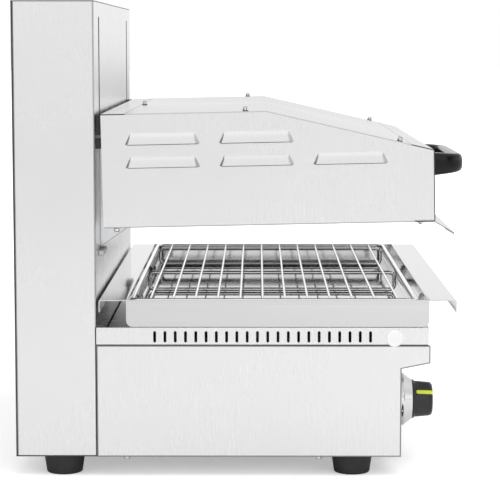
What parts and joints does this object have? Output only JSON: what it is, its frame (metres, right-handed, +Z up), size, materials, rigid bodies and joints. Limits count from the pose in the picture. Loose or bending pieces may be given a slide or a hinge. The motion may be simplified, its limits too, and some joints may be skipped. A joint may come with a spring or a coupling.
{
  "type": "salamander grill",
  "caption": "Countertop rise-and-fall salamander grill: a heated head slides up a rear column over a drip pan and chromed wire grate.",
  "frame": {"origin": "centre of the bounding box at the height of the table, under the feet", "axes": "+X to the machine's right, +Y to the column's back, -Y to the controls and handle, +Z up"},
  "size_m": [0.6, 0.5199, 0.53],
  "materials": {
    "body_steel": "satin brushed",
    "pan_steel": "fine brushed",
    "zinc_steel": "zinc plated",
    "screw_steel": "bright",
    "reflector_steel": "bright annealed",
    "bezel_metal": "silvered satin",
    "grate_chrome": "bright chrome",
    "brass": "plain",
    "black_plastic": "gloss",
    "black_paint": "satin",
    "black_rubber": "matt",
    "grey_plastic": "matt",
    "white_plastic": "semi gloss",
    "ivory_plastic": "matt",
    "lamp_orange": "clear",
    "pointer_green": "printed",
    "wool": "fibrous",
    "heater_steel": "heat darkened"
  },
  "bodies": {
    "stand": {"floor_pan": "zinc_steel", "base_side_left": "body_steel", "base_side_right": "body_steel", "front_panel": "body_steel", "base_lid": "body_steel", "hole_plug": "white_plastic", "bezel_left": "bezel_metal", "bezel_right": "bezel_metal", "pilot_lamps": "lamp_orange", "regulator_left": "ivory_plastic", "regulator_right": "ivory_plastic", "terminal_block": "ivory_plastic", "cable_gland": "grey_plastic", "feet": "black_rubber", "foot_screws": "screw_steel", "floor_screws": "screw_steel", "column_shell": "body_steel", "column_rear_cover": "body_steel", "column_top_cap": "body_steel", "rear_screws": "screw_steel", "guide_rail_left": "zinc_steel", "guide_rail_right": "zinc_steel", "gas_cylinder_left": "black_paint", "gas_cylinder_right": "black_paint", "slot_stops": "black_rubber"},
    "head": {"lift_arm_left": "zinc_steel", "lift_arm_right": "zinc_steel", "carriage": "zinc_steel", "roller_pins": "zinc_steel", "arm_bolts": "screw_steel", "gas_rod_left": "screw_steel", "gas_rod_right": "screw_steel", "head_side_left": "body_steel", "head_side_right": "body_steel", "head_rear": "body_steel", "head_front": "body_steel", "head_top_cover": "body_steel", "head_lip": "body_steel", "reflector": "reflector_steel", "insulation": "wool", "heater_left": "heater_steel", "heater_right": "heater_steel", "heater_brackets": "zinc_steel", "handle": "black_plastic", "handle_screws": "screw_steel", "cover_screws": "screw_steel", "underside_screws": "screw_steel"},
    "upper_left_roller": {"roller_upper_left": "white_plastic"},
    "upper_right_roller": {"roller_upper_right": "white_plastic"},
    "lower_left_roller": {"roller_lower_left": "white_plastic"},
    "lower_right_roller": {"roller_lower_right": "white_plastic"},
    "pan": {"pan": "pan_steel"},
    "grate": {"grate_wires": "grate_chrome", "grate_rails": "grate_chrome"},
    "left_knob": {"knob_left": "black_plastic", "pointer_left": "pointer_green", "shaft_left": "brass"},
    "right_knob": {"knob_right": "black_plastic", "pointer_right": "pointer_green", "shaft_right": "brass"}
  },
  "joints": [
    {"name": "head_lift", "type": "slide", "parent": "stand", "child": "head", "axis": [0, 0, 1], "range_m": [0, 0.12]},
    {"name": "pan_slide", "type": "slide", "parent": "stand", "child": "pan", "axis": [0, -1, 0], "range_m": [0, 0.3]},
    {"name": "grate_lift", "type": "slide", "parent": "pan", "child": "grate", "axis": [0, 0, 1], "range_m": [0, 0.06]},
    {"name": "left_knob_turn", "type": "hinge", "parent": "stand", "child": "left_knob", "pos_m": [-0.212, -0.1717, 0.072], "axis": [0, 1, 0], "range_deg": [0, 270]},
    {"name": "right_knob_turn", "type": "hinge", "parent": "stand", "child": "right_knob", "pos_m": [0.212, -0.1717, 0.072], "axis": [0, 1, 0], "range_deg": [0, 270]},
    {"name": "upper_left_roller_spin", "type": "hinge", "parent": "head", "child": "upper_left_roller", "pos_m": [-0.28715, 0.208, 0.3749], "axis": [1, 0, 0], "range_deg": [0, 626]},
    {"name": "upper_right_roller_spin", "type": "hinge", "parent": "head", "child": "upper_right_roller", "pos_m": [0.28715, 0.208, 0.3749], "axis": [1, 0, 0], "range_deg": [0, 626]},
    {"name": "lower_left_roller_spin", "type": "hinge", "parent": "head", "child": "lower_left_roller", "pos_m": [-0.28715, 0.208, 0.2749], "axis": [1, 0, 0], "range_deg": [-626, 0]},
    {"name": "lower_right_roller_spin", "type": "hinge", "parent": "head", "child": "lower_right_roller", "pos_m": [0.28715, 0.208, 0.2749], "axis": [1, 0, 0], "range_deg": [-626, 0]}
  ],
  "couplings": [
    {"joint": "upper_left_roller_spin", "follows": "head_lift", "rad_per_m": 90.909},
    {"joint": "upper_right_roller_spin", "follows": "head_lift", "rad_per_m": 90.909},
    {"joint": "lower_left_roller_spin", "follows": "head_lift", "rad_per_m": -90.909},
    {"joint": "lower_right_roller_spin", "follows": "head_lift", "rad_per_m": -90.909}
  ]
}
